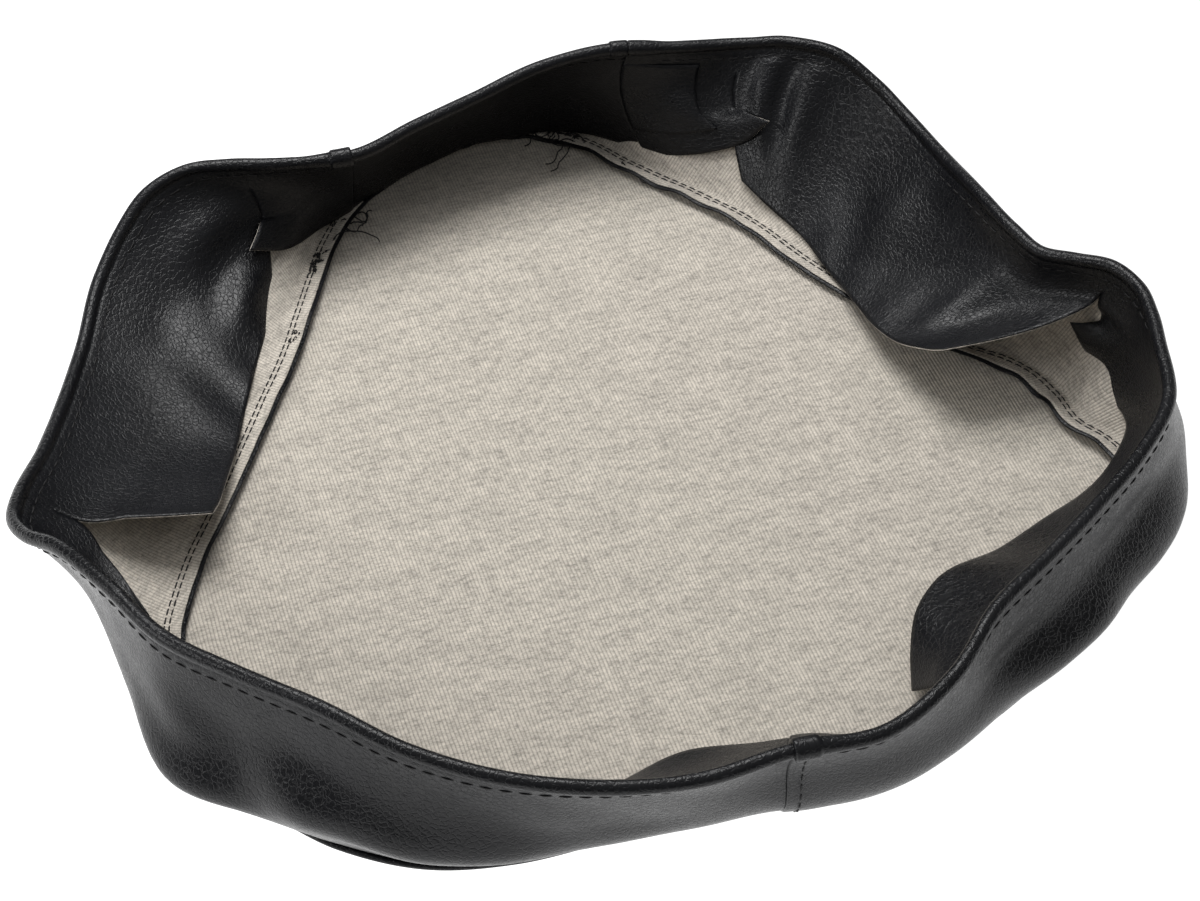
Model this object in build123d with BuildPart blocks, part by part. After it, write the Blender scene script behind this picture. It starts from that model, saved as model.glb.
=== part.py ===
"""Spare tire cover, lying face down and open side up, in millimetres.

A round face panel lies on the floor. Three strips, joined end to end, stand round it as the
tread wrap. Each strip is folded over a cord at the rim, stitched below the cord, and carries on
down inside as a loose back flap, which six slits cut into tabs. The cloth is a laminate: a vinyl
skin outside and a knit backing inside, and each layer is a node of its own.

Frame: origin on the floor under the middle of the face panel, +X to the right seen from the
front cross seam, +Y to the back, +Z up.
"""
from build123d import *
import os
from math import cos, hypot, radians, sin

# Cloth and cords
VINYL = 0.6
KNIT = 0.5
LAYER_GAP = 0.05
CORD_RADIUS = 2.4
WELT_CORD_RADIUS = 1.2
WELT_COVER_RADIUS = 2.0
WELT_GAP = 0.15
THREAD = 0.7

# Seams
ALLOWANCE = 12.0
HEM_DEPTH = 9.0
HEM_HALF = 1.25
PANEL_RETURN_Z = 2.3
WRAP_BOTTOM_Z = 3.0
WRAP_OVER_WELT_Z = 4.4
FRONT_SEAM = -71.0
REAR_SEAM = 89.0
FILLER_SEAM = 128.0
STATION_STEP = 9

# Back flap
FLAP_SLITS = (-48.0, 10.0, 67.0, 147.5, 206.0, 254.0)
SLIT_HALF = 0.6
SLIT_FLAP_SHARE = 0.42
RING_GAP = 0.2
RING_SPAN = 6
THREAD_LIFT = 0.4

# The shape the soft cover has slumped into. Each row is a turn about the origin, in degrees:
# seam out, rim out, rim up, flap edge out, flap edge up.
SLUMP = (
    (-90, 262, 298, 88, 242, 12),
    (-75, 252, 292, 88, 228, 20),
    (-60, 266, 292, 90, 242, 14),
    (-45, 270, 270, 96, 232, 12),
    (-30, 278, 274, 96, 212, 20),
    (-15, 294, 292, 96, 250, 16),
    (-4, 296, 292, 96, 280, 20),
    (5, 268, 292, 94, 254, 30),
    (12, 260, 270, 92, 204, 36),
    (20, 232, 248, 86, 176, 26),
    (28, 214, 248, 84, 176, 18),
    (36, 206, 256, 76, 182, 14),
    (45, 200, 274, 70, 192, 10),
    (54, 204, 286, 78, 206, 10),
    (64, 216, 288, 90, 226, 18),
    (75, 230, 272, 86, 236, 20),
    (88, 258, 252, 90, 240, 10),
    (102, 288, 238, 82, 262, 10),
    (116, 280, 224, 76, 256, 10),
    (128, 258, 218, 74, 240, 10),
    (136, 238, 232, 74, 232, 12),
    (144, 218, 270, 78, 228, 18),
    (152, 206, 298, 68, 214, 10),
    (161, 198, 300, 50, 206, 9),
    (172, 196, 292, 38, 198, 9),
    (184, 204, 294, 44, 200, 12),
    (194, 220, 306, 54, 208, 22),
    (200, 234, 316, 64, 220, 30),
    (206, 250, 308, 76, 240, 28),
    (215, 274, 296, 90, 264, 18),
    (225, 294, 294, 92, 268, 12),
    (236, 298, 286, 94, 264, 10),
    (250, 292, 290, 94, 262, 10),
)
SEAM_OUT, RIM_OUT, RIM_UP, EDGE_OUT, EDGE_UP = 1, 2, 3, 4, 5
WRAP_BULGE = 5.0
FLAP_CLEAR = 8.0

KNIT_INSET = VINYL + LAYER_GAP
CORD_SLACK = 0.6
BEAD_RADIUS = CORD_RADIUS + CORD_SLACK + KNIT + KNIT_INSET
BEAD_TURNS = (-54, -6, 42, 90, 138, 186, 234)


def slump(turn, column):
    """Read one column of SLUMP at any turn, as a smooth closed curve through its rows."""
    count = len(SLUMP)
    turn = (turn - SLUMP[0][0]) % 360 + SLUMP[0][0]
    row = max(i for i in range(count) if SLUMP[i][0] <= turn)
    turns, values = [], []
    for i in range(row - 1, row + 3):
        turns.append(SLUMP[i % count][0] + 360 * (i // count))
        values.append(SLUMP[i % count][column])
    span = turns[2] - turns[1]
    u = (turn - turns[1]) / span
    start_slope = (values[2] - values[0]) / (turns[2] - turns[0]) * span
    end_slope = (values[3] - values[1]) / (turns[3] - turns[1]) * span
    return (
        (2 * u**3 - 3 * u**2 + 1) * values[1]
        + (u**3 - 2 * u**2 + u) * start_slope
        + (3 * u**2 - 2 * u**3) * values[2]
        + (u**3 - u**2) * end_slope
    )


def mix(a, b, share):
    """The point a share of the way from a to b."""
    return (a[0] + (b[0] - a[0]) * share, a[1] + (b[1] - a[1]) * share)


def rim_frame(turn):
    """Bead centre, and the wrap's upward and outward directions at the rim."""
    bead = (slump(turn, RIM_OUT) - BEAD_RADIUS, slump(turn, RIM_UP) - BEAD_RADIUS)
    foot = (slump(turn, SEAM_OUT) + 1, WRAP_OVER_WELT_Z)
    length = hypot(bead[0] - foot[0], bead[1] - foot[1])
    up = ((bead[0] - foot[0]) / length, (bead[1] - foot[1]) / length)
    return bead, foot, up, (up[1], -up[0])


def flap_share(turn):
    """How much of the flap's width is left at a turn: less at the root of a slit."""
    for slit in FLAP_SLITS:
        if abs((turn - slit + 180) % 360 - 180) < SLIT_HALF / 2:
            return SLIT_FLAP_SHARE
    return 1.0


def strip_path(turn):
    """The vinyl's outside face in the upright plane at a turn, from allowance to flap edge."""
    bead, foot, up, out = rim_frame(turn)
    seam = slump(turn, SEAM_OUT)
    path = [(seam - ALLOWANCE, WRAP_BOTTOM_Z), (seam - 1.5, WRAP_BOTTOM_Z), foot]
    for share, bulge in ((0.25, 0.8), (0.5, 1.0), (0.75, 0.6)):
        x, z = mix(foot, bead, share)
        path.append((x + out[0] * WRAP_BULGE * bulge, max(z + out[1] * WRAP_BULGE * bulge, 6)))
    hem = (bead[0] - up[0] * HEM_DEPTH, bead[1] - up[1] * HEM_DEPTH)
    path.append((hem[0] + out[0] * HEM_HALF, hem[1] + out[1] * HEM_HALF))
    for angle in BEAD_TURNS:
        side, rise = BEAD_RADIUS * cos(radians(angle)), BEAD_RADIUS * sin(radians(angle))
        path.append((bead[0] + out[0] * side + up[0] * rise, bead[1] + out[1] * side + up[1] * rise))
    top = (hem[0] - out[0] * HEM_HALF, hem[1] - out[1] * HEM_HALF)
    path.append(top)
    edge = (slump(turn, EDGE_OUT) - FLAP_CLEAR, max(slump(turn, EDGE_UP), 9))
    share = flap_share(turn)
    path.append(mix(top, (edge[0] + 3, edge[1] + 4), 0.35 * share))
    path.append(mix(top, (edge[0] + 3, edge[1] + 4), 0.7 * share))
    path.append(mix(top, edge, share))
    return path


def inset(path, depth):
    """The same path moved into the cloth by depth, which is to the left of its travel."""
    moved = []
    for i, (x, z) in enumerate(path):
        before, after = path[max(i - 1, 0)], path[min(i + 1, len(path) - 1)]
        normals = []
        for a, b in ((before, (x, z)), ((x, z), after)):
            length = hypot(b[0] - a[0], b[1] - a[1])
            if length > 0:
                normals.append((-(b[1] - a[1]) / length, (b[0] - a[0]) / length))
        nx = sum(n[0] for n in normals)
        nz = sum(n[1] for n in normals)
        size = hypot(nx, nz)
        reach = depth / max(size / len(normals), 0.5)
        moved.append((x + nx / size * reach, z + nz / size * reach))
    return moved


def stations(start, end):
    """The turns at which a run is drawn, the same ones for every piece: even steps, the cross
    seams, and three close together at each slit."""
    fixed = [FRONT_SEAM, REAR_SEAM, FILLER_SEAM, FRONT_SEAM + 360, *FLAP_SLITS]
    turns = [turn for turn in range(-72, 290, STATION_STEP) if all(abs(turn - f) > 3 for f in fixed)]
    turns += fixed
    for slit in FLAP_SLITS:
        turns += [slit - SLIT_HALF, slit + SLIT_HALF]
    return sorted(turn for turn in turns if start <= turn <= end)


def ring_stations():
    """The turns of a piece that goes once round and stops just short of its own start."""
    turns = stations(FRONT_SEAM, FRONT_SEAM + 360)
    turns[-1] -= RING_GAP
    return turns


def upright(turn):
    """The upright plane through the Z axis at a turn, with X outwards and Y up."""
    x, y = cos(radians(turn)), sin(radians(turn))
    return Plane(origin=(0, 0, 0), x_dir=(x, y, 0), z_dir=(y, -x, 0))


def export(piece, label):
    """Label a finished piece and write its STEP file."""
    piece.part.label = label
    export_step(piece.part, f"parts/{label}.step")


def strip_layer(start, end, depth, thickness):
    """One layer of a strip between two cross seams."""
    with BuildPart() as layer:
        for turn in stations(start, end):
            path = strip_path(turn)
            outline = inset(path, depth) + inset(path, depth + thickness)[::-1]
            with BuildSketch(upright(turn)):
                with BuildLine():
                    Polyline(*outline, close=True)
                make_face()
        loft(ruled=True, clean=False)
    return layer


def ring(centre, outline):
    """A closed outline carried once round on centre(turn), lofted in short spans that join."""
    turns = ring_stations()
    with BuildPart() as run:
        for first in range(0, len(turns) - 1, RING_SPAN):
            for turn in turns[first : first + RING_SPAN + 1]:
                x, z = centre(turn)
                with BuildSketch(upright(turn)):
                    with BuildLine():
                        Polyline(*[(x + a, z + b) for a, b in outline], close=True)
                    make_face()
            loft(ruled=True, clean=False)
    return run


def round_outline(radius, sides=8):
    """A regular outline for a cord."""
    turns = [radians(360 * (i + 0.5) / sides) for i in range(sides)]
    return [(radius * cos(t), radius * sin(t)) for t in turns]


def split_tube(outer, inner, sides=8):
    """The outline of a strip wrapped round a cord: a tube split along its inward side."""
    turns = [radians(185 + 350 * i / sides) for i in range(sides + 1)]
    outside = [(outer * cos(t), outer * sin(t)) for t in turns]
    return outside + [(inner * cos(t), inner * sin(t)) for t in turns[::-1]]


def panel_outline(inward):
    """The face panel's edge, moved in from the seam, with the strips' own stations."""
    turns = stations(FRONT_SEAM, FRONT_SEAM + 360)[:-1]
    reach = [slump(t, SEAM_OUT) - inward for t in turns]
    return [(r * cos(radians(t)), r * sin(radians(t))) for r, t in zip(reach, turns)]


def panel_layer(edge, base, top, return_base, return_top):
    """A flat layer of the face panel whose edge turns up and lies back as seam allowance."""
    thickness = top - base
    with BuildPart() as layer:
        with BuildSketch(Plane.XY.offset(base)):
            with BuildLine():
                Polyline(*panel_outline(edge), close=True)
            make_face()
        extrude(amount=thickness)
        with BuildSketch(Plane.XY.offset(top)):
            with BuildLine():
                Polyline(*panel_outline(edge), close=True)
            make_face()
            with BuildLine():
                Polyline(*panel_outline(edge + thickness), close=True)
            make_face(mode=Mode.SUBTRACT)
        extrude(amount=return_base - top)
        with BuildSketch(Plane.XY.offset(return_base)):
            with BuildLine():
                Polyline(*panel_outline(edge), close=True)
            make_face()
            with BuildLine():
                Polyline(*panel_outline(ALLOWANCE), close=True)
            make_face(mode=Mode.SUBTRACT)
        extrude(amount=return_top - return_base)
    return layer


def hem_point(turn, side):
    """Where the hem's thread lies: on the wrap's outside (1) or on the flap's face (-1)."""
    bead, foot, up, out = rim_frame(turn)
    reach = side * (HEM_HALF + THREAD / 2 + THREAD_LIFT)
    return (bead[0] - up[0] * HEM_DEPTH + out[0] * reach, bead[1] - up[1] * HEM_DEPTH + out[1] * reach)


def cross_thread(turn):
    """The thread down one cross seam, on the wrap's outside from foot to hem."""
    path = strip_path(turn)[2:7]
    path[0] = mix(path[0], path[1], 0.2)
    path[-1] = mix(path[-1], path[-2], 0.1)
    outline = inset(path, -THREAD_LIFT) + inset(path, -THREAD_LIFT - THREAD)[::-1]
    with BuildPart() as thread:
        with BuildSketch(upright(turn)):
            with BuildLine():
                Polyline(*outline, close=True)
            make_face()
        extrude(amount=THREAD)
    return thread


os.makedirs("parts", exist_ok=True)

# Face panel: its edge turns back inside the seam
export(panel_layer(0, 0, VINYL, PANEL_RETURN_Z, PANEL_RETURN_Z + VINYL), "face_panel_vinyl")
export(
    panel_layer(
        KNIT_INSET,
        KNIT_INSET,
        KNIT_INSET + KNIT,
        PANEL_RETURN_Z - LAYER_GAP - KNIT,
        PANEL_RETURN_Z - LAYER_GAP,
    ),
    "face_panel_knit",
)

# Tread wrap: three strips, each with its rim fold and back flap
STRIPS = (
    ("right", FRONT_SEAM, REAR_SEAM),
    ("filler", REAR_SEAM, FILLER_SEAM),
    ("left", FILLER_SEAM, FRONT_SEAM + 360),
)
for side, start, end in STRIPS:
    export(strip_layer(start, end, 0, VINYL), f"wrap_{side}_vinyl")
    export(strip_layer(start, end, KNIT_INSET, KNIT), f"wrap_{side}_knit")

# Rim cord, butted at the front seam
export(ring(lambda turn: rim_frame(turn)[0], round_outline(CORD_RADIUS)), "rim_cord")


# Welt between the face panel and the wrap
def welt_centre(turn):
    """The middle of the welt, just outside the seam and standing on the floor."""
    return (slump(turn, SEAM_OUT) + WELT_COVER_RADIUS + WELT_GAP, WELT_COVER_RADIUS)


welt_cover = ring(welt_centre, split_tube(WELT_COVER_RADIUS, WELT_CORD_RADIUS + WELT_GAP))
export(welt_cover, "welt_cover")
export(ring(welt_centre, round_outline(WELT_CORD_RADIUS)), "welt_cord")

# Threads
HALF = THREAD / 2
square = [(-HALF, -HALF), (HALF, -HALF), (HALF, HALF), (-HALF, HALF)]
export(ring(lambda turn: hem_point(turn, 1), square), "rim_needle_thread")
export(ring(lambda turn: hem_point(turn, -1), square), "rim_bobbin_thread")
SEAM_TOP_Z = WRAP_BOTTOM_Z + KNIT_INSET + KNIT + THREAD_LIFT + HALF
for row, inward in (("outer", 3.0), ("inner", 5.5)):
    row_thread = ring(lambda turn: (slump(turn, SEAM_OUT) - inward, SEAM_TOP_Z), square)
    export(row_thread, f"face_seam_{row}_thread")
for name, turn in (("front", FRONT_SEAM), ("rear", REAR_SEAM), ("filler", FILLER_SEAM)):
    export(cross_thread(turn), f"{name}_seam_thread")
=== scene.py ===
"""Spare tire cover, lying face down and open side up on a pale floor.

The cover is cloth: a vinyl skin with a knit backing. Three strips stand round the face panel as the
tread wrap. Each is folded over a cord at the rim and hangs down inside as a back flap, which six
slits cut into tabs. Shapes are worked out in millimetres, and meshes are made in metres.
"""
import bpy
import numpy as np
from math import cos, pi, radians, sin
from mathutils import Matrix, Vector


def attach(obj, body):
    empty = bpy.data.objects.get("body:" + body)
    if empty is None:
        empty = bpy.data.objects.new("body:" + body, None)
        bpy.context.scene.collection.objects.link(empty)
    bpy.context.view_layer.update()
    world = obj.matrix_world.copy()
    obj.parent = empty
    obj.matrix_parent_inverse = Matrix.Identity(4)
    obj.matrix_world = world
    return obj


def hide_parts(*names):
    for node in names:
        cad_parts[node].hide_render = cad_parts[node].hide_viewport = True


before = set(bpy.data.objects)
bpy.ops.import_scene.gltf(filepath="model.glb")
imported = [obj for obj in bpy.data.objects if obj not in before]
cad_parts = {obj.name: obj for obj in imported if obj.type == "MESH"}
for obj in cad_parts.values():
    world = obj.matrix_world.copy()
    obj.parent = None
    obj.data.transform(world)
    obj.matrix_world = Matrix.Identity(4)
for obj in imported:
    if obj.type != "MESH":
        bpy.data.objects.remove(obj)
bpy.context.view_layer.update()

MM = 0.001
STATION = 21.1          # cloth between two stations round the face seam
ROUND = 80              # stations in one round, from the front cross seam
COLUMN = 2.6            # widest gap between two columns of the wrap's mesh
REAR = 35.4
FILLER = 44.0

# Cloth
VINYL = 0.6
KNIT = 0.5
PLY_GAP = 0.04
CORD_RADIUS = 2.4
BEAD_RADIUS = 3.15      # where vinyl meets knit, round the cord
HEM_DEPTH = 9.0
HEM_HALF = 0.75
ALLOWANCE = 12.0
FIN_Z = 4.0             # where vinyl meets knit in the wrap's allowance
WALL_WIDTH = 95.0
FLAP_LENGTH = 95.0
LAP = 0.9               # how far a strip's lapped end stands proud of the one under it
LAP_GROOVE = 0.8        # how deep the groove beside the lap is
LAP_FROM = 8            # the allowance and the wall's foot, in rows of the mesh, that no lap lifts

# The slumped wrap. Each row: station, face seam x and y, rim x, y and z.
WRAP = (
    (0, 82, -241, 87, -277, 89),
    (2, 124, -234, 130, -265, 88),
    (4, 161, -214, 163, -235, 92),
    (6, 193, -188, 186, -197, 96),
    (8, 224, -158, 215, -163, 96),
    (10, 251, -126, 243, -129, 96),
    (12, 275, -91, 269, -94, 96),
    (14, 292, -53, 289, -55, 96),
    (16, 294, -11, 291, -11, 95),
    (17, 283, 7, 291, 11, 95),
    (18, 268, 22, 288, 32, 95),
    (19, 260, 41, 276, 49, 95),
    (20, 249, 59, 258, 61, 90),
    (21, 233, 73, 241, 73, 85),
    (22, 214, 82, 229, 92, 85),
    (24, 181, 108, 213, 133, 81),
    (26, 149, 135, 200, 174, 72),
    (28, 120, 165, 181, 214, 72),
    (29, 106, 182, 165, 234, 79),
    (30, 92, 197, 142, 252, 88),
    (31, 76, 210, 113, 262, 89),
    (32, 59, 223, 89, 265, 86),
    (34, 24, 248, 47, 259, 87),
    (36, -9, 274, 4, 252, 89),
    (38, -47, 287, -36, 240, 84),
    (40, -87, 273, -73, 218, 78),
    (42, -123, 252, -108, 193, 76),
    (44, -150, 220, -143, 168, 74),
    (45, -160, 201, -166, 162, 75),
    (46, -167, 181, -191, 159, 76),
    (47, -172, 161, -215, 158, 77),
    (48, -175, 140, -239, 155, 76),
    (49, -178, 119, -261, 142, 69),
    (50, -181, 98, -275, 120, 58),
    (51, -184, 77, -284, 95, 48),
    (53, -193, 36, -289, 47, 38),
    (55, -202, -6, -292, 1, 40),
    (57, -211, -47, -295, -44, 47),
    (59, -221, -88, -299, -88, 58),
    (60, -224, -109, -297, -110, 64),
    (61, -226, -130, -286, -128, 72),
    (62, -224, -151, -269, -142, 81),
    (64, -215, -192, -237, -175, 90),
    (66, -198, -231, -205, -209, 91),
    (68, -160, -245, -167, -234, 94),
    (70, -123, -266, -127, -256, 96),
    (72, -82, -277, -88, -278, 93),
    (74, -40, -274, -45, -293, 91),
    (76, 1, -262, 0, -297, 88),
    (78, 41, -250, 45, -292, 87),
)
# How the wall is bent between the face seam and the rim, outwards. Each row: station, belly
# (one bend), sway (low end out, high end in) and fold (two bellies with a dip between).
BENDS = (
    (0, 9, 4, 0),
    (5, 10, 4, 0),
    (9, 12, 5, 0),
    (13, 13, 4, 0),
    (16, 12, 2, 0),
    (20, 6, 0, 0),
    (26, 4, 0, 0),
    (32, 4, 0, 0),
    (38, 6, 0, 0),
    (44, 4, 0, 0),
    (49, 6, 0, 0),
    (56, 7, 0, 0),
    (60, 5, 2, 0),
    (63, 9, 4, 0),
    (66, 10, 6, 1),
    (69, 11, 7, 2),
    (72, 10, 5, 1),
    (76, 8, 3, 0),
)
# Local swells and dents. Each row: station, share of the way up the wall or down the flap, reach
# along and across in millimetres, and height in millimetres, outwards on the wall and towards the
# middle of the cover on the flap.
WALL_SWELLS = (
    (64.3, 0.52, 38, 17, -3.0),
    (66.6, 0.40, 40, 15, -5.0),
    (67.2, 0.14, 34, 11, 4.5),
    (69.6, 0.46, 30, 17, 5.0),
    (70.4, 0.18, 40, 12, -3.5),
    (72.6, 0.34, 34, 16, 4.0),
    (76.0, 0.50, 60, 16, -2.0),
    (6.5, 0.62, 34, 12, -5.0),
    (8.6, 0.36, 34, 15, 5.5),
    (11.5, 0.66, 46, 14, -5.5),
    (12.6, 0.30, 34, 15, 4.5),
)
FLAP_SWELLS = (
    (31.2, 0.25, 7, 26, 5.0),
    (30.2, 0.30, 8, 28, 4.0),
    (30.7, 0.28, 5, 26, -3.0),
    (28.4, 0.50, 20, 24, -2.0),
    (26.0, 0.40, 22, 26, 4.5),
    (24.0, 0.60, 20, 20, -1.5),
    (21.8, 0.50, 14, 26, 4.0),
    (33.6, 0.45, 12, 22, 3.5),
    (48.9, 0.30, 24, 12, 4.0),
    (48.5, 0.52, 30, 12, -4.5),
    (49.0, 0.74, 30, 12, 3.5),
    (50.6, 0.34, 34, 14, -2.0),
    (53.0, 0.62, 50, 26, 1.2),
    (56.0, 0.50, 40, 24, -1.2),
    (7.4, 0.55, 20, 26, -3.0),
)
# Slits between the back flap's tabs. Each row: station, and how far down the flap its root is.
SLITS = ((5, 0.40), (19, 0.08), (32, 0.40), (47, 0.36), (59, 0.22), (72, 0.40))
SLIT_OPENS = 0.30
# The back flap's tabs. Each is a list of rows: station, free edge x, y and z.
TABS = (
    (
        (-8, -77, -252, 4), (-6, -37, -249, 7), (-4, 2, -241, 11), (-2, 44, -224, 19),
        (0, 92, -216, 18), (2, 132, -207, 13), (4, 168, -192, 8), (5, 185, -183, 6),
    ),
    (
        (5, 155, -178, 9), (6, 156, -157, 15), (7, 160, -136, 22), (8, 170, -118, 22),
        (10, 209, -87, 16), (12, 255, -50, 16), (14, 286, -6, 21), (16, 277, 36, 16),
        (17, 274, 48, 23), (18, 266, 49, 37), (19, 259, 50, 50),
    ),
    (
        (19, 187, 29, 48), (20, 179, 42, 37), (21, 170, 55, 28), (23, 156, 80, 19),
        (25, 145, 111, 13), (27, 133, 143, 8), (29, 120, 171, 9), (31, 98, 199, 13),
        (32, 86, 214, 17),
    ),
    (
        (32, 101, 223, 55), (33, 87, 228, 35), (34, 61, 235, 21), (35, 37, 247, 12),
        (37, -15, 273, 8), (39, -56, 270, 7), (41, -93, 254, 6), (43, -132, 223, 4),
        (45, -167, 177, 10), (46, -184, 149, 18), (47, -202, 129, 34),
    ),
    (
        (47, -191, 121, 5), (49, -192, 89, 6), (51, -195, 55, 6), (53, -197, 25, 6),
        (55, -198, -9, 10), (57, -199, -47, 21), (58, -199, -65, 28), (59, -200, -82, 37),
    ),
    (
        (59, -229, -140, 25), (60, -222, -149, 20), (62, -208, -170, 14), (64, -190, -194, 10),
        (66, -163, -217, 7), (68, -131, -238, 6), (70, -95, -257, 6), (72, -57, -274, 5),
    ),
)


# ---------------------------------------------------------------- curves

def smooth(t):
    """A step from 0 to 1 with soft ends."""
    t = np.clip(t, 0, 1)
    return t * t * (3 - 2 * t)


def hermite(knots, values, at):
    """A smooth curve through values at knots, read at each place in at."""
    slopes = np.gradient(values, knots, axis=0)
    i = np.clip(np.searchsorted(knots, at, side="right") - 1, 0, len(knots) - 2)
    span = (knots[i + 1] - knots[i])[:, None]
    u = ((at - knots[i])[:, None]) / span
    return (
        (2 * u**3 - 3 * u**2 + 1) * values[i]
        + (u**3 - 2 * u**2 + u) * span * slopes[i]
        + (3 * u**2 - 2 * u**3) * values[i + 1]
        + (u**3 - u**2) * span * slopes[i + 1]
    )


def closed(rows, at):
    """Rows of station and values, read as a curve that closes on itself after ROUND stations."""
    table = np.array(rows, float)
    wrapped = np.vstack([table[-3:], table, table[:3]])
    wrapped[:3, 0] -= ROUND
    wrapped[-3:, 0] += ROUND
    return hermite(wrapped[:, 0], wrapped[:, 1:], np.mod(at, ROUND))


def opened(rows, at):
    """Rows of station and values, read as an open curve."""
    table = np.array(rows, float)
    return hermite(table[:, 0], table[:, 1:], np.clip(at, table[0, 0], table[-1, 0]))


def unit(v):
    return v / np.maximum(np.linalg.norm(v, axis=-1, keepdims=True), 1e-9)


def seam_at(at):
    """The face seam on the floor, and its direction outwards, at each station."""
    here = closed([row[:3] for row in WRAP], at)
    ahead = closed([row[:3] for row in WRAP], at + 0.3)
    behind = closed([row[:3] for row in WRAP], at - 0.3)
    along = unit(ahead - behind)
    outward = np.stack([along[:, 1], -along[:, 0]], axis=1)
    return here, outward


def rim_at(at):
    return closed([(row[0], *row[3:]) for row in WRAP], at)


def ripple(at, v, seed, waves=7):
    """Soft uneven dents in cloth, about one high or low, over stations and width."""
    pick = np.random.default_rng(seed)
    total = 0
    for _ in range(waves):
        turns = pick.integers(5, 42)
        lean = pick.uniform(-4, 4)
        phase = pick.uniform(0, 2 * pi)
        total = total + pick.uniform(0.4, 1.0) * np.sin(2 * pi * turns * at / ROUND + lean * v + phase)
    return total / waves**0.5


def swells(rows, at, share, width):
    """The height that the swells and dents in rows give at each station, a share across width."""
    height = np.zeros(len(at))
    for station, middle, along, across, size in rows:
        away = (np.mod(at - station + ROUND / 2, ROUND) - ROUND / 2) * STATION / along
        up = (share - middle) * width / across
        height += size * np.exp(-(away**2) - up**2)
    return height


# ---------------------------------------------------------------- the wrap's section

WALL_STEPS = 30
BEAD_ANGLES = np.radians(np.linspace(-52, 232, 17))
FLAP_STEPS = 30


def frames(at):
    """For each station: foot of the wall, bead centre, and the rim's up, out and along directions."""
    seam, outward = seam_at(at)
    foot = np.column_stack([seam + outward * 0.6, np.full(len(at), FIN_Z)])
    rim = rim_at(at)
    rim[:, 2] -= 1.0
    along = unit(rim_at(at + 0.25) - rim_at(at - 0.25))
    chord = rim - foot
    wall_out = unit(np.cross(along, chord))
    belly, sway, fold = closed(BENDS, at).T[:, :, None]
    rise = unit(chord + wall_out * pi * (-belly + 2 * sway - 3 * fold) * 0.5)
    out = unit(np.cross(along, rise))
    centre = rim - rise * BEAD_RADIUS
    return foot, centre, rise, out, along


def wall(at):
    """The wall from the face seam up to the hem."""
    foot, centre, rise, out, along = frames(at)
    hem = centre - rise * HEM_DEPTH + out * HEM_HALF
    chord = hem - foot
    wall_out = unit(np.cross(along, chord))
    bends = closed(BENDS, at)
    points = []
    for v in np.linspace(0, 1, WALL_STEPS + 1)[:-1]:
        bend = bends[:, 0] * sin(pi * v) + bends[:, 1] * sin(2 * pi * v) + bends[:, 2] * sin(3 * pi * v)
        bend += ripple(at, 3 * v, 11) * 1.1 * sin(pi * v)
        bend += swells(WALL_SWELLS, at, v, WALL_WIDTH)
        point = foot + chord * v + wall_out * bend[:, None]
        low = FIN_Z - 1.5 + 0.5 * v
        point[:, 2] = np.maximum(point[:, 2], low)
        points.append(point)
    return points


# The neck under the bead, from the stitches up: how far under the cord, and how much wider the
# doubled cloth is there.
NECK = ((HEM_DEPTH, 0.0), (6.8, 0.25), (5.0, 0.15), (3.9, -0.1))


def bead(at):
    """Round the rim's cord, from the hem outside to the hem inside."""
    centre, rise, out = frames(at)[1:4]
    radius = BEAD_RADIUS + bead_swell(at)[:, None]
    points = [centre - rise * under + out * (HEM_HALF + wider) for under, wider in NECK]
    for angle in BEAD_ANGLES:
        points.append(centre + (out * cos(angle) + rise * sin(angle)) * radius)
    points += [centre - rise * under - out * (HEM_HALF + wider) for under, wider in NECK[::-1]]
    return points


LUMP = 1.1              # how much thicker the bead is at a cross seam


def bead_swell(at):
    """How much thicker the bead is where strips lap over each other at the cross seams."""
    extra = 0.12 * ripple(at * 2.0, 0, 23)
    for seam, width in ((0.0, 0.5), (REAR, 0.45), (FILLER, 0.5)):
        away = np.mod(at - seam + ROUND / 2, ROUND) - ROUND / 2
        extra = extra + LUMP * smooth((away + 0.02) / 0.03) * (1 - smooth((away - width) / 0.06))
    return extra


def tab_edges(at, tab):
    """A tab's free edge, and the edge that it shares with its neighbours above the slit roots."""
    own = opened(TABS[tab], at)
    shared = own.copy()
    for other, mine, theirs in ((tab - 1, 0, -1), ((tab + 1) % len(TABS), -1, 0)):
        gap = np.array(TABS[other][theirs][1:], float) - np.array(TABS[tab][mine][1:], float)
        near = 1 - smooth(np.abs(at - TABS[tab][mine][0]) / 2.5)
        shared += 0.5 * gap * near[:, None]
    return own, shared


def slit_root(at, tab):
    """How far down the flap the tabs part, at each station of a tab."""
    (first, first_root), (last, last_root) = SLITS[tab - 1], SLITS[tab]
    first = first - ROUND if first > last else first
    return first_root + (last_root - first_root) * smooth((at - first) / (last - first))


def hang(start, down, end, u):
    """One point down a flap that leaves start along down and ends at end."""
    reach = FLAP_LENGTH * 0.33
    first = start + down * reach
    last = end - unit(end - first) * reach * 0.8
    return (
        (1 - u) ** 3 * start
        + 3 * (1 - u) ** 2 * u * first
        + 3 * (1 - u) * u**2 * last
        + u**3 * end
    )


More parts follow.
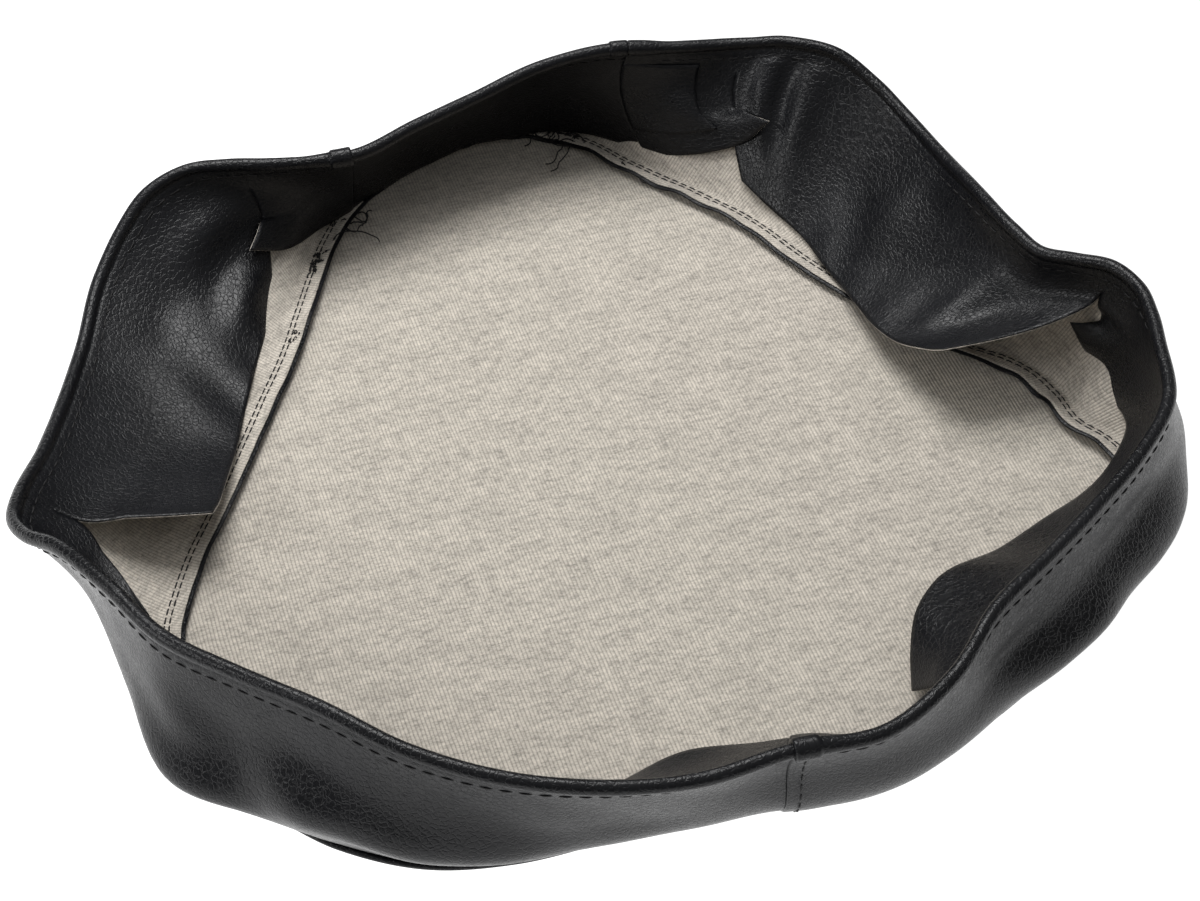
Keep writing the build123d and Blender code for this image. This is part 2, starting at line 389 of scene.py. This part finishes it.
def flap(at, tab):
    """The flap from the hem down to its free edge, on one tab."""
    foot, centre, rise, out, along = frames(at)
    start = centre - rise * HEM_DEPTH - out * HEM_HALF
    local = at - ROUND if tab == 0 and at[0] > 60 else at
    own, shared = tab_edges(local, tab)
    points = []
    for u in np.linspace(0, 1, FLAP_STEPS + 1)[1:]:
        part = smooth((u - slit_root(local, tab)) / SLIT_OPENS)[:, None]
        point = hang(start, -rise, shared, u) * (1 - part) + hang(start, -rise, own, u) * part
        sideways = unit(np.cross(own - start, along))
        lift = ripple(local, 2 * u, 31 + tab) * 1.2 * u * min(1, u * 2)
        lift -= swells(FLAP_SWELLS, at, u, FLAP_LENGTH)
        point += sideways * lift[:, None]
        point[:, 2] = np.maximum(point[:, 2], 3.2)
        points.append(point)
    return points


def allowance(at):
    """The wrap's seam allowance, lying inwards on the face panel, from its free edge."""
    seam, outward = seam_at(at)
    points = []
    for inward in (12.0, 9.5, 7.0, 4.5, 2.2, 0.8):
        lift = fin_lift(at) * (inward / ALLOWANCE) ** 2
        flat = seam - outward * inward
        points.append(np.column_stack([flat, FIN_Z + lift]))
    return points


FIN_REST_LIFT = 2.2
FIN_WAVES = ((17, 3.5), (36, 4.0))      # where the allowance's edge is wavy: station, reach


def fin_lift(at):
    """How far the allowance's free edge stands up from the face panel."""
    wavy = 0
    for station, reach in FIN_WAVES:
        wavy = wavy + np.exp(-(((np.mod(at, ROUND) - station) / reach) ** 2))
    return FIN_REST_LIFT + (1.0 + 2.2 * wavy) * ripple(at * 1.6, 0, 5, 5)


# ---------------------------------------------------------------- meshes

def mesh_piece(name, points, faces, flat=None):
    """A piece from points in millimetres, with its cloth coordinates in metres as its UV map."""
    mesh = bpy.data.meshes.new(name)
    mesh.from_pydata((np.asarray(points) * MM).tolist(), [], [list(f) for f in faces])
    if flat is not None:
        layer = mesh.uv_layers.new(name="cloth")
        corners = np.empty(len(mesh.loops), dtype=np.int64)
        mesh.loops.foreach_get("vertex_index", corners)
        layer.data.foreach_set("uv", (np.asarray(flat)[corners] * MM).ravel())
    piece = bpy.data.objects.new(name, mesh)
    bpy.context.scene.collection.objects.link(piece)
    mesh.polygons.foreach_set("use_smooth", [True] * len(mesh.polygons))
    mesh.update()
    return piece


def grid_faces(rows, columns, start=0):
    """Quads over a grid stored row by row."""
    faces = []
    for r in range(rows - 1):
        for c in range(columns - 1):
            a = start + r * columns + c
            faces.append((a, a + 1, a + columns + 1, a + columns))
    return faces


def only(piece):
    """Select one piece and nothing else."""
    for other in bpy.context.selected_objects:
        other.select_set(False)
    piece.select_set(True)
    bpy.context.view_layer.objects.active = piece


def join_doubles(piece, reach=0.02):
    """Merge vertices that lie on each other."""
    only(piece)
    bpy.ops.object.mode_set(mode="EDIT")
    bpy.ops.mesh.select_all(action="SELECT")
    bpy.ops.mesh.remove_doubles(threshold=reach * MM)
    bpy.ops.object.mode_set(mode="OBJECT")


def give_thickness(piece, thickness, side):
    """Turn a sheet into a closed one: side 1 grows it the way its faces point, -1 the other way."""
    shift = piece.modifiers.new("gap", "DISPLACE")
    shift.strength = side * PLY_GAP * MM
    shift.mid_level = 0
    bpy.ops.object.modifier_apply(modifier=shift.name)
    solid = piece.modifiers.new("ply", "SOLIDIFY")
    solid.thickness = thickness * MM
    solid.offset = side
    solid.use_even_offset = False
    bpy.ops.object.modifier_apply(modifier=solid.name)


SEAM_COLUMNS = (0.01, 0.03, 0.05, 0.08, 0.46, 0.50, 0.54)   # extra columns each side of a cross seam


def column_stations(start, end):
    """Stations of a run's columns, close enough for smooth cloth, with both ends."""
    count = max(2, int(round((end - start) * STATION / COLUMN)) + 1)
    at = list(np.linspace(start, end, count))
    for seam in (0, REAR, FILLER, ROUND):
        for away in SEAM_COLUMNS:
            at += [place for place in (seam - away, seam + away) if start < place < end]
    return np.array(sorted(at))


def lap(at):
    """How far a strip's ends stand proud: a lapped end is doubled, the end under it sinks."""
    height = np.zeros(len(at))
    for seam, over in ((0, 1), (REAR, -1), (FILLER, 1), (ROUND, 1)):
        away = (at - seam) * over
        raised = smooth(away / 0.03) * (1 - smooth((away - 0.35) / 0.9))
        height += LAP * raised * (away >= 0) - LAP_GROOVE * (1 - smooth(np.abs(away) / 0.04))
    return height


def strip_sections(start, end):
    """The runs of columns of one strip, cut at the slits: (stations, tab)."""
    cuts = [slit[0] for slit in SLITS]
    tabs = [0, 1, 2, 3, 4, 5, 0]
    edges = [start] + [c for c in cuts if start < c < end] + [end]
    runs = []
    for a, b in zip(edges, edges[1:]):
        tab = tabs[sum(c <= (a + b) / 2 for c in cuts)]
        runs.append((column_stations(a, b), tab))
    return runs


def strip_grid(start, end):
    """Points, faces and cloth coordinates of one strip's middle surface, merged above the slits."""
    points, faces, flat = [], [], []
    for at, tab in strip_sections(start, end):
        rows = allowance(at) + wall(at) + bead(at) + flap(at, tab)
        rows = np.array(rows)
        along = np.gradient(rows, axis=1)
        normal = unit(np.cross(along, np.gradient(rows, axis=0)))
        rows[LAP_FROM:] += normal[LAP_FROM:] * lap(at)[None, :, None]
        down = np.linalg.norm(np.diff(rows, axis=0), axis=2).mean(axis=1)
        across = np.concatenate([[0], np.cumsum(down)])
        faces += grid_faces(len(rows), len(at), len(points))
        points += list(rows.reshape(-1, 3))
        flat += [(s * STATION, w) for w in across for s in at]
    return points, faces, flat


PATCH = (33.15, REAR - 0.02)    # stations of the doubled end at the rear seam
PATCH_SHARE = 0.78              # how far down the flap it reaches


def patch_grid():
    """The doubled end of the right strip at the rear seam, lying on the flap."""
    at = np.linspace(*PATCH, 22)
    rows = np.array(flap(at, 3)[: int(FLAP_STEPS * PATCH_SHARE)])
    normal = unit(np.cross(np.gradient(rows, axis=1), np.gradient(rows, axis=0)))
    rows += normal * (VINYL + 0.35)
    flat = [(s * STATION, 130 + r * FLAP_LENGTH / FLAP_STEPS) for r in range(len(rows)) for s in at]
    return rows.reshape(-1, 3), grid_faces(len(rows), len(at)), flat


SIDES = (("right", 0.0, REAR), ("filler", REAR, FILLER), ("left", FILLER, float(ROUND)))
pieces = {}


def make_strip(side, start, end, ply):
    """One ply of a strip."""
    points, faces, flat = strip_grid(start, end)
    if (side, ply) == ("right", "vinyl"):
        more, quads, more_flat = patch_grid()
        faces += [tuple(i + len(points) for i in quad) for quad in quads]
        points += list(more)
        flat += more_flat
    piece = mesh_piece(f"wrap_{side}_{ply}_sheet", points, faces, flat)
    join_doubles(piece)
    if ply == "vinyl":
        give_thickness(piece, VINYL, 1)
    else:
        give_thickness(piece, KNIT, -1)
    return piece


# ---------------------------------------------------------------- face panel and welt

PANEL_RINGS = 52
EDGE_SPARE = 1.8        # how far the vinyl under the knit stands out past it at the allowance's edge
RETURN_Z = 1.9          # where vinyl meets knit in the panel's turned-in edge


def make_panel(ply):
    """One ply of the face panel, from its middle out to the seam, up and back in."""
    at = np.linspace(0, ROUND, 521)[:-1]
    seam, outward = seam_at(at)
    rows = []
    for ring in range(1, PANEL_RINGS + 1):
        share = (ring / PANEL_RINGS) ** 0.85
        flat = (seam - outward * 1.2) * share
        swell = panel_wave(flat) * (1 - smooth((share - 0.8) / 0.15))
        rows.append(np.column_stack([flat, VINYL + PLY_GAP + swell]))
    for inward, z in ((0.55, 0.9), (0.3, 1.25), (0.5, 1.6), (1.2, RETURN_Z), (3, RETURN_Z)):
        rows.append(np.column_stack([seam - outward * inward, np.full(len(at), z)]))
    spare = EDGE_SPARE if ply == "vinyl" else -0.6
    for inward in (5.5, 8, 10.5, ALLOWANCE + spare):
        lift = fin_lift(at) * (inward / ALLOWANCE) ** 2 * 0.95
        rows.append(np.column_stack([seam - outward * inward, RETURN_Z + lift]))
    rows = np.array(rows)
    count = len(at)
    points = [(0.0, 0.0, VINYL + PLY_GAP + float(panel_wave(np.zeros((1, 2)))[0]))]
    points += list(rows.reshape(-1, 3))
    faces = [(0, 1 + c, 1 + (c + 1) % count) for c in range(count)]
    for r in range(len(rows) - 1):
        for c in range(count):
            a, b = 1 + r * count + c, 1 + r * count + (c + 1) % count
            faces.append((a, a + count, b + count, b))
    flat = [(p[0], p[1]) for p in points]
    piece = mesh_piece(f"face_panel_{ply}_sheet", points, faces, flat)
    only(piece)
    if ply == "vinyl":
        give_thickness(piece, VINYL - 0.05, -1)
    else:
        give_thickness(piece, KNIT, 1)
    return piece


def panel_wave(flat):
    """The low waves of the face panel where it lies."""
    x, y = flat[:, 0], flat[:, 1]
    wave = np.sin(x / 46 + y / 95 + 0.4) + 0.8 * np.sin(y / 38 - x / 120 + 2.0)
    wave += 0.6 * np.sin((x + y) / 29 + 1.0)
    return 0.5 + 0.22 * wave


def tube(points, radius, sides=8, closed_run=False):
    """Points and faces of a tube along points, in millimetres."""
    points = np.asarray(points, float)
    if closed_run:
        along = unit(np.roll(points, -1, axis=0) - np.roll(points, 1, axis=0))
    else:
        along = unit(np.gradient(points, axis=0))
    side = unit(np.cross(along, np.array([0.0, 0.0, 1.0]) + 0.001))
    up = np.cross(side, along)
    radius = np.broadcast_to(radius, len(points))
    rings = []
    for i in range(len(points)):
        for k in range(sides):
            angle = 2 * pi * k / sides
            rings.append(points[i] + (side[i] * cos(angle) + up[i] * sin(angle)) * radius[i])
    faces = []
    for i in range(len(points) if closed_run else len(points) - 1):
        j = (i + 1) % len(points)
        for k in range(sides):
            m = (k + 1) % sides
            faces.append((i * sides + k, i * sides + m, j * sides + m, j * sides + k))
    if not closed_run:
        last = (len(points) - 1) * sides
        faces.append(tuple(range(sides))[::-1])
        faces.append(tuple(range(last, last + sides)))
    return rings, faces


def make_tubes(name, runs, radius, sides=8):
    """One piece made of several tubes, each along its own run of points."""
    points, faces = [], []
    for run in runs:
        ring, quads = tube(run, radius, sides)
        faces += [tuple(i + len(points) for i in quad) for quad in quads]
        points += ring
    piece = mesh_piece(name, points, faces, [(p[0], p[1]) for p in points])
    only(piece)
    bpy.ops.object.mode_set(mode="EDIT")
    bpy.ops.mesh.select_all(action="SELECT")
    bpy.ops.mesh.normals_make_consistent(inside=False)
    bpy.ops.object.mode_set(mode="OBJECT")
    return piece


WELT_RADIUS = 1.95
WELT_CORD = 1.2
WELT_OUT = 2.1          # how far outside the face seam the welt's middle lies
WELT_COVER_PLY = 0.45


def make_welt_cover():
    """A strip of vinyl wrapped round the welt's cord, with both edges inside the allowance."""
    at = np.linspace(0, ROUND - 0.04, 500)
    seam, outward = seam_at(at)
    middle = WELT_RADIUS - VINYL / 2 - 0.1
    tail_z = (RETURN_Z + VINYL + 0.35, FIN_Z - VINYL - 0.35)
    rows = []
    path = [(-ALLOWANCE - 2.2, tail_z[0]), (-8, tail_z[0]), (-4, tail_z[0]), (-0.4, tail_z[0] - 0.3)]
    for angle in np.radians(np.linspace(-205, 130, 13)):
        path.append((WELT_OUT + middle * cos(-angle), WELT_RADIUS + middle * sin(-angle)))
    path = path[:4] + [p for p in reversed(path[4:])]
    path += [(-0.4, tail_z[1] - 0.2), (-4, tail_z[1]), (-8, tail_z[1]), (-ALLOWANCE - 2.0, tail_z[1])]
    for out, z in path:
        lift = fin_lift(at) * (min(out, 0) / ALLOWANCE) ** 2 * 0.98
        rows.append(np.column_stack([seam + outward * out, z + lift]))
    rows = np.array(rows)
    down = np.linalg.norm(np.diff(rows, axis=0), axis=2).mean(axis=1)
    across = np.concatenate([[0], np.cumsum(down)])
    flat = [(s * STATION, w) for w in across for s in at]
    piece = mesh_piece("welt_cover_strip", rows.reshape(-1, 3), grid_faces(len(rows), len(at)), flat)
    only(piece)
    solid = piece.modifiers.new("ply", "SOLIDIFY")
    solid.thickness = WELT_COVER_PLY * MM
    solid.offset = 0
    bpy.ops.object.modifier_apply(modifier=solid.name)
    return piece


def make_welt_cord():
    at = np.linspace(0, ROUND - 0.1, 420)
    seam, outward = seam_at(at)
    line = np.column_stack([seam + outward * WELT_OUT, np.full(len(at), WELT_RADIUS)])
    return make_tubes("welt_cord_core", [line], WELT_CORD)


def make_rim_cord():
    at = np.linspace(0, ROUND - 0.1, 560)
    centre = frames(at)[1]
    return make_tubes("rim_cord_core", [centre], CORD_RADIUS)


# ---------------------------------------------------------------- stitches

THREAD_RADIUS = 0.42
STITCH_RISE = 0.34
STITCH_ARCH = np.array([-0.55, 0.6, 1.0, 1.0, 0.6, -0.55]) * STITCH_RISE
STITCH_SHARE = 0.68     # how much of a pitch the thread shows


def stitch_row(place, start, end, pitch, share=STITCH_SHARE):
    """Stitches along place(stations), which gives points on the cloth and its outward normals."""
    count = int((end - start) * STATION / pitch)
    runs = []
    for i in range(count):
        first = start + (i + 0.5 * (1 - share)) * (end - start) / count
        last = first + share * (end - start) / count
        points, normals = place(np.linspace(first, last, len(STITCH_ARCH)))
        runs.append(points + normals * STITCH_ARCH[:, None])
    return runs


def hem_place(side):
    """The rim's stitch line, on the wall (1) or on the flap's face (-1)."""
    def place(at):
        foot, centre, rise, out, along = frames(at)
        depth = HEM_HALF + VINYL + PLY_GAP
        return centre - rise * HEM_DEPTH + side * out * depth, side * out
    return place


def fin_place(inward):
    def place(at):
        seam, outward = seam_at(at)
        lift = fin_lift(at) * (inward / ALLOWANCE) ** 2
        points = np.column_stack([seam - outward * inward, FIN_Z + KNIT + PLY_GAP + lift])
        return points, np.tile([0.0, 0.0, 1.0], (len(at), 1))
    return place


def wall_stitches(station, first=3, last=WALL_STEPS - 1, pitch=8.0):
    """Stitches up a cross seam, on the wall's outside."""
    at = np.array([station - 0.02, station, station + 0.02])
    rows = np.array(wall(at) + bead(at)[:1])
    line = rows[:, 1]
    along = unit(rows[:, 2] - rows[:, 0])
    normal = unit(np.cross(along, np.gradient(line, axis=0)))
    line = line + normal * (VINYL + PLY_GAP + lap(at)[1])
    length = np.concatenate([[0], np.cumsum(np.linalg.norm(np.diff(line, axis=0), axis=1))])
    runs = []
    start, end = length[first], length[last]
    count = int((end - start) / pitch)
    for i in range(count):
        marks = np.linspace(start + i * pitch, start + (i + STITCH_SHARE) * pitch, len(STITCH_ARCH))
        points = np.stack([np.interp(marks, length, line[:, k]) for k in range(3)], axis=1)
        normals = np.stack([np.interp(marks, length, normal[:, k]) for k in range(3)], axis=1)
        runs.append(points + normals * STITCH_ARCH[:, None])
    return runs


# Cut thread ends. Each row: station, how far inwards from the face seam, length, how curled, number.
LOOSE_THREADS = (
    (44.6, 12, 34, 0.9, 5),
    (45.6, 10, 26, 1.3, 4),
    (46.6, 9, 46, 0.35, 3),
    (47.3, 5, 16, 2.6, 8),
    (36.0, 8, 38, 1.0, 6),
    (37.0, 10, 30, 1.4, 5),
    (38.2, 12, 24, 1.0, 3),
    (40.5, 11, 16, 1.5, 2),
    (33.6, 11, 14, 1.2, 2),
    (2.5, 12, 14, 1.2, 2),
    (50.4, 6, 12, 1.6, 2),
)


THREAD_STEPS = 14
THREADS_LIE = FIN_Z + 1.6       # height of a loose thread's middle
THREADS_CLEAR = 5.0             # how far inside the face seam a loose thread stays


def loose_threads():
    """Cut thread ends and tangles that lie on the allowance beside the cross seams."""
    pick = np.random.default_rng(9)
    runs = []
    for station, inward, length, curl, number in LOOSE_THREADS:
        for _ in range(number):
            at = np.array([station + pick.uniform(-0.35, 0.35)])
            seam, outward = seam_at(at)
            here = np.append(seam[0] - outward[0] * (inward + pick.uniform(-3, 3)), THREADS_LIE)
            heading = pick.uniform(0, 2 * pi)
            turn = pick.uniform(-1, 1) * curl
            line = [here.copy()]
            for step in range(THREAD_STEPS):
                heading += turn * 0.45 + pick.uniform(-0.5, 0.5) * curl
                turn += pick.uniform(-0.3, 0.3) * curl
                stride = length * pick.uniform(0.8, 1.0) / THREAD_STEPS
                here = here + np.array([cos(heading), sin(heading), 0]) * stride
                inside = np.dot(seam[0] - here[:2], outward[0])
                here[:2] -= outward[0] * max(0, THREADS_CLEAR - inside)
                here[2] = THREADS_LIE + 1.4 * sin(step * 0.7 + heading)
                line.append(here.copy())
            runs.append(np.array(line))
    return runs


# ---------------------------------------------------------------- finishes

class Val:
    """A number that varies over a surface. Arithmetic on it adds Math nodes."""

    def __init__(self, finish, socket):
        self.finish = finish
        self.socket = socket

    def math(self, operation, first, second):
        return self.finish.number("ShaderNodeMath", {"operation": operation}, {0: first, 1: second})

    def __add__(self, other):
        return self.math("ADD", self, other)

    __radd__ = __add__

    def __sub__(self, other):
        return self.math("SUBTRACT", self, other)

    def __rsub__(self, other):
        return self.math("SUBTRACT", other, self)

    def __mul__(self, other):
        return self.math("MULTIPLY", self, other)

    __rmul__ = __mul__

    def over(self, low, high):
        """0 below low, 1 above high, soft between."""
        settings = {"interpolation_type": "SMOOTHSTEP"}
        return self.finish.number("ShaderNodeMapRange", settings, {"Value": self, 1: low, 2: high})


class Finish:
    """A material in the making: its nodes, and its one Principled shader."""

    def __init__(self, name):
        self.material = bpy.data.materials.new(name)
        self.material.use_nodes = True
        self.nodes = self.material.node_tree.nodes
        self.links = self.material.node_tree.links
        self.shader = self.nodes["Principled BSDF"]

    def node(self, kind, settings=None, sockets=None):
        """A node of a kind, its settings made first, then its sockets filled or linked."""
        node = self.nodes.new(kind)
        for key, value in (settings or {}).items():
            setattr(node, key, value)
        for key, value in (sockets or {}).items():
            self.fill(node.inputs[key], value)
        return node

    def fill(self, socket, value):
        if isinstance(value, Val):
            value = value.socket
        if isinstance(value, bpy.types.NodeSocket):
            self.links.new(value, socket)
        else:
            socket.default_value = value

    def number(self, kind, settings=None, sockets=None, output=0):
        return Val(self, self.node(kind, settings, sockets).outputs[output])

    def cloth(self, scale=(1, 1, 1), turn=0.0):
        """Cloth coordinates in millimetres, turned and then stretched."""
        flat = self.node("ShaderNodeUVMap", {"uv_map": "cloth"}).outputs[0]
        sockets = {"Vector": flat, "Rotation": (0, 0, radians(turn)), "Scale": (1000, 1000, 1000)}
        turned = self.node("ShaderNodeMapping", None, sockets).outputs[0]
        return self.node("ShaderNodeMapping", None, {"Vector": turned, "Scale": scale}).outputs[0]

    def noise(self, vector, scale, detail=2.0, rough=0.5):
        sockets = {"Vector": vector, "Scale": scale, "Detail": detail, "Roughness": rough}
        return self.number("ShaderNodeTexNoise", None, sockets)

    def blend(self, factor, first, second):
        """A colour between two colours."""
        node = self.node("ShaderNodeMix", {"data_type": "RGBA"}, {0: factor})
        self.fill(node.inputs[6], first)
        self.fill(node.inputs[7], second)
        return node.outputs[2]

    def bump(self, height, distance, strength=1.0):
        """Bump of a height, in millimetres, into the shader."""
        sockets = {"Height": height, "Distance": distance * MM, "Strength": strength}
        normal = self.node("ShaderNodeBump", None, sockets).outputs[0]
        self.fill(self.shader.inputs["Normal"], normal)

    def set(self, **values):
        for key, value in values.items():
            self.fill(self.shader.inputs[key.replace("_", " ")], value)


def leather_vinyl():
    """Black upholstery vinyl with a fine leather grain."""
    f = Finish("black_vinyl_grain")
    flat = f.cloth()
    warp = f.node("ShaderNodeTexNoise", None, {"Vector": flat, "Scale": 0.35, "Detail": 3.0})
    push = f.node("ShaderNodeVectorMath", {"operation": "MULTIPLY_ADD"}, None)
    f.fill(push.inputs[0], warp.outputs["Color"])
    f.fill(push.inputs[1], (3.0, 3.0, 0.0))
    f.fill(push.inputs[2], flat)
    bent = push.outputs[0]
    cell_sockets = {"Vector": bent, "Scale": 0.36, "Randomness": 1.0}
    cells = f.number("ShaderNodeTexVoronoi", {"feature": "DISTANCE_TO_EDGE"}, cell_sockets)
    fine_sockets = {"Vector": bent, "Scale": 0.95, "Randomness": 1.0}
    fine = f.number("ShaderNodeTexVoronoi", {"feature": "DISTANCE_TO_EDGE"}, fine_sockets)
    creases = 1 - cells.over(0.0, 0.16)
    pebbles = fine.over(0.0, 0.25)
    soft = f.noise(flat, 0.12, 4.0)
    broad = f.noise(flat, 0.012, 3.0)
    height = pebbles * 0.12 - creases * (0.2 + soft * 0.9) + soft * 0.5
    f.bump(height, 0.18, 1.0)
    rough = 0.28 + creases * 0.08 + (broad - 0.5) * 0.14 + (soft - 0.5) * 0.10
    shade = f.blend(broad.over(0.35, 0.7), (0.0030, 0.0032, 0.0042, 1), (0.0062, 0.0065, 0.0080, 1))
    f.set(Base_Color=shade, Roughness=rough, Specular_IOR_Level=0.24)
    return f.material


def heather_knit():
    """Grey heather knit with fine ribs."""
    f = Finish("grey_heather_knit")
    turn = -18.0
    ribs_at = f.cloth((1, 1, 1), turn)
    split = f.node("ShaderNodeSeparateXYZ", None, {0: ribs_at})
    across = Val(f, split.outputs[0])
    along = Val(f, split.outputs[1])
    wobble = f.noise(f.cloth((0.12, 0.05, 1), turn), 1.0, 2.0) * 1.2
    ribs = f.number("ShaderNodeMath", {"operation": "SINE"}, {0: (across + wobble) * (2 * pi / 1.95)})
    loops = f.number("ShaderNodeMath", {"operation": "SINE"}, {0: along * (2 * pi / 2.9)})
    yarn = f.noise(f.cloth((0.5, 1.3, 1), turn), 1.0, 3.0, 0.75)
    fleck = f.noise(f.cloth((0.16, 0.42, 1), turn), 1.0, 4.0, 0.7)
    cloud = f.noise(f.cloth((0.035, 0.11, 1), turn), 1.0, 2.0)
    dark = fleck.over(0.36, 0.74) * 0.52 + yarn.over(0.40, 0.76) * 0.55 + cloud.over(0.30, 0.7) * 0.2
    shade = f.blend(dark, (0.64, 0.583, 0.505, 1), (0.19, 0.175, 0.152, 1))
    # Painted shade: the grooves between the ribs are darkened in colour, more where the yarn noise is
    # high.
    rib_grooves_painted_shade = (1 - ribs.over(-1.0, 0.1)) * (0.4 + yarn * 0.8)
    shade = f.blend(rib_grooves_painted_shade * 0.62, shade, (0.15, 0.138, 0.12, 1))
    height = ribs * 0.5 + loops * ribs.over(-0.2, 0.8) * 0.2 + yarn * 0.3
    f.bump(height, 0.25, 0.7)
    f.set(Base_Color=shade, Roughness=0.95, Sheen_Weight=0.15, Sheen_Roughness=0.6)
    return f.material


def sewing_thread():
    """Black bonded thread."""
    f = Finish("black_bonded_thread")
    place = f.node("ShaderNodeTexCoord").outputs["Object"]
    fuzz = f.noise(place, 2600.0, 2.0)
    f.bump(fuzz, 0.08, 0.5)
    shade = f.blend(fuzz, (0.006, 0.006, 0.007, 1), (0.018, 0.017, 0.017, 1))
    f.set(Base_Color=shade, Roughness=0.6, Specular_IOR_Level=0.3)
    return f.material


def cord_core():
    """Off-white extruded cord."""
    f = Finish("off_white_cord")
    place = f.node("ShaderNodeTexCoord").outputs["Object"]
    mottle = f.noise(place, 400.0, 3.0)
    f.bump(mottle, 0.1, 0.4)
    shade = f.blend(mottle, (0.72, 0.70, 0.64, 1), (0.84, 0.82, 0.77, 1))
    f.set(Base_Color=shade, Roughness=0.6)
    return f.material


def pale_floor_painted_glow():
    """A pale table that glows, a little brighter to the left: painted light that renders it white and
    washes out the cover's shadow, with a painted pool of the left lamp's light.
    """
    f = Finish("pale_floor_painted_glow")
    place = f.node("ShaderNodeTexCoord").outputs["Object"]
    tone = f.noise(place, 3.0, 2.0)
    split = f.node("ShaderNodeSeparateXYZ", None, {0: place})
    # Painted light: a mask that makes the floor's glow brighter to the left, where the left lamp would
    # light it.
    side = (Val(f, split.outputs[0]) + Val(f, split.outputs[1]) * 0.25).over(-0.35, 0.30)
    f.set(Base_Color=f.blend(tone, (0.14, 0.14, 0.14, 1), (0.17, 0.17, 0.17, 1)), Roughness=0.9)
    # Painted light: the floor glows, white on the left and 0.66 on the right, strong enough to render
    # white and wash out shadows.
    f.set(Emission_Color=f.blend(side, (1.0, 1.0, 1.0, 1), (0.66, 0.66, 0.66, 1)))
    f.set(Emission_Strength=1.5, Specular_IOR_Level=0.0)
    return f.material


# ---------------------------------------------------------------- assembly

def finish_piece(piece, node, material):
    """A piece stands for its CAD node, rides on the cover and takes its finish."""
    piece.data.materials.clear()
    piece.data.materials.append(material)
    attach(piece, "root")
    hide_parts(node)
    pieces[node] = piece


vinyl, knit, thread, core = leather_vinyl(), heather_knit(), sewing_thread(), cord_core()

for side, start, end in SIDES:
    for ply, slot, material in (("vinyl", "black_vinyl", vinyl), ("knit", "grey_knit", knit)):
        strip = make_strip(side, start, end, ply)
        finish_piece(strip, f"wrap_{side}_{ply}", material)

for ply, slot, material in (("vinyl", "black_vinyl", vinyl), ("knit", "grey_knit", knit)):
    panel = make_panel(ply)
    finish_piece(panel, f"face_panel_{ply}", material)

welt = make_welt_cover()
finish_piece(welt, "welt_cover", vinyl)
finish_piece(make_welt_cord(), "welt_cord", core)
finish_piece(make_rim_cord(), "rim_cord", core)

ALL_ROUND = (0.1, ROUND - 0.1)
RIM_PITCH = 8.4
FACE_PITCH = 6.2
BESIDE_SEAM = 0.33      # stations from a cross seam to its stitches
stitch_sets = {
    "rim_needle_thread": stitch_row(hem_place(1), *ALL_ROUND, RIM_PITCH),
    "rim_bobbin_thread": stitch_row(hem_place(-1), *ALL_ROUND, RIM_PITCH),
    "face_seam_outer_thread": stitch_row(fin_place(3.0), *ALL_ROUND, FACE_PITCH, 0.72),
    "face_seam_inner_thread": stitch_row(fin_place(5.6), *ALL_ROUND, FACE_PITCH, 0.72) + loose_threads(),
    "front_seam_thread": wall_stitches(BESIDE_SEAM),
    "rear_seam_thread": wall_stitches(REAR + BESIDE_SEAM),
    "filler_seam_thread": wall_stitches(FILLER + BESIDE_SEAM),
}
for node, runs in stitch_sets.items():
    finish_piece(make_tubes(node + "_stitches", runs, THREAD_RADIUS, 6), node, thread)

# ---------------------------------------------------------------- floor, light and camera

bpy.ops.mesh.primitive_plane_add(size=6, location=(0, 0, -0.0002))
floor = bpy.context.object
floor.name = "floor"
floor.data.materials.append(pale_floor_painted_glow())


def soft_light(name, place, size, power):
    """A large square light aimed at the cover."""
    lamp = bpy.data.lights.new(name, "AREA")
    lamp.shape = "SQUARE"
    lamp.size = size
    lamp.energy = power
    light = bpy.data.objects.new(name, lamp)
    light.location = place
    light.rotation_euler = (Vector((0, 0, 0)) - Vector(place)).to_track_quat("-Z", "Y").to_euler()
    bpy.context.scene.collection.objects.link(light)


soft_light("overhead", (-0.25, 0.65, 1.5), 0.9, 28)
soft_light("left", (-1.6, -0.4, 0.85), 0.6, 9)

world = bpy.data.worlds.new("studio")
world.use_nodes = True
sky = world.node_tree
height = sky.nodes.new("ShaderNodeSeparateXYZ")
sky.links.new(sky.nodes.new("ShaderNodeTexCoord").outputs["Generated"], height.inputs[0])
rise = sky.nodes.new("ShaderNodeMapRange")
rise.inputs["To Min"].default_value = 0.04
rise.inputs["To Max"].default_value = 0.52
sky.links.new(height.outputs["Z"], rise.inputs["Value"])
sky.links.new(rise.outputs[0], sky.nodes["Background"].inputs["Strength"])
sky.nodes["Background"].inputs["Color"].default_value = (1, 1, 1, 1)
bpy.context.scene.world = world
bpy.context.scene.view_settings.view_transform = "Standard"

eye = bpy.data.cameras.new("camera")
eye.lens = 75.9
eye.sensor_width = 36
camera = bpy.data.objects.new("camera", eye)
camera.location = (0, -0.984, 0.984)
camera.rotation_euler = (radians(45), 0, 0)
bpy.context.scene.collection.objects.link(camera)
bpy.context.scene.camera = camera
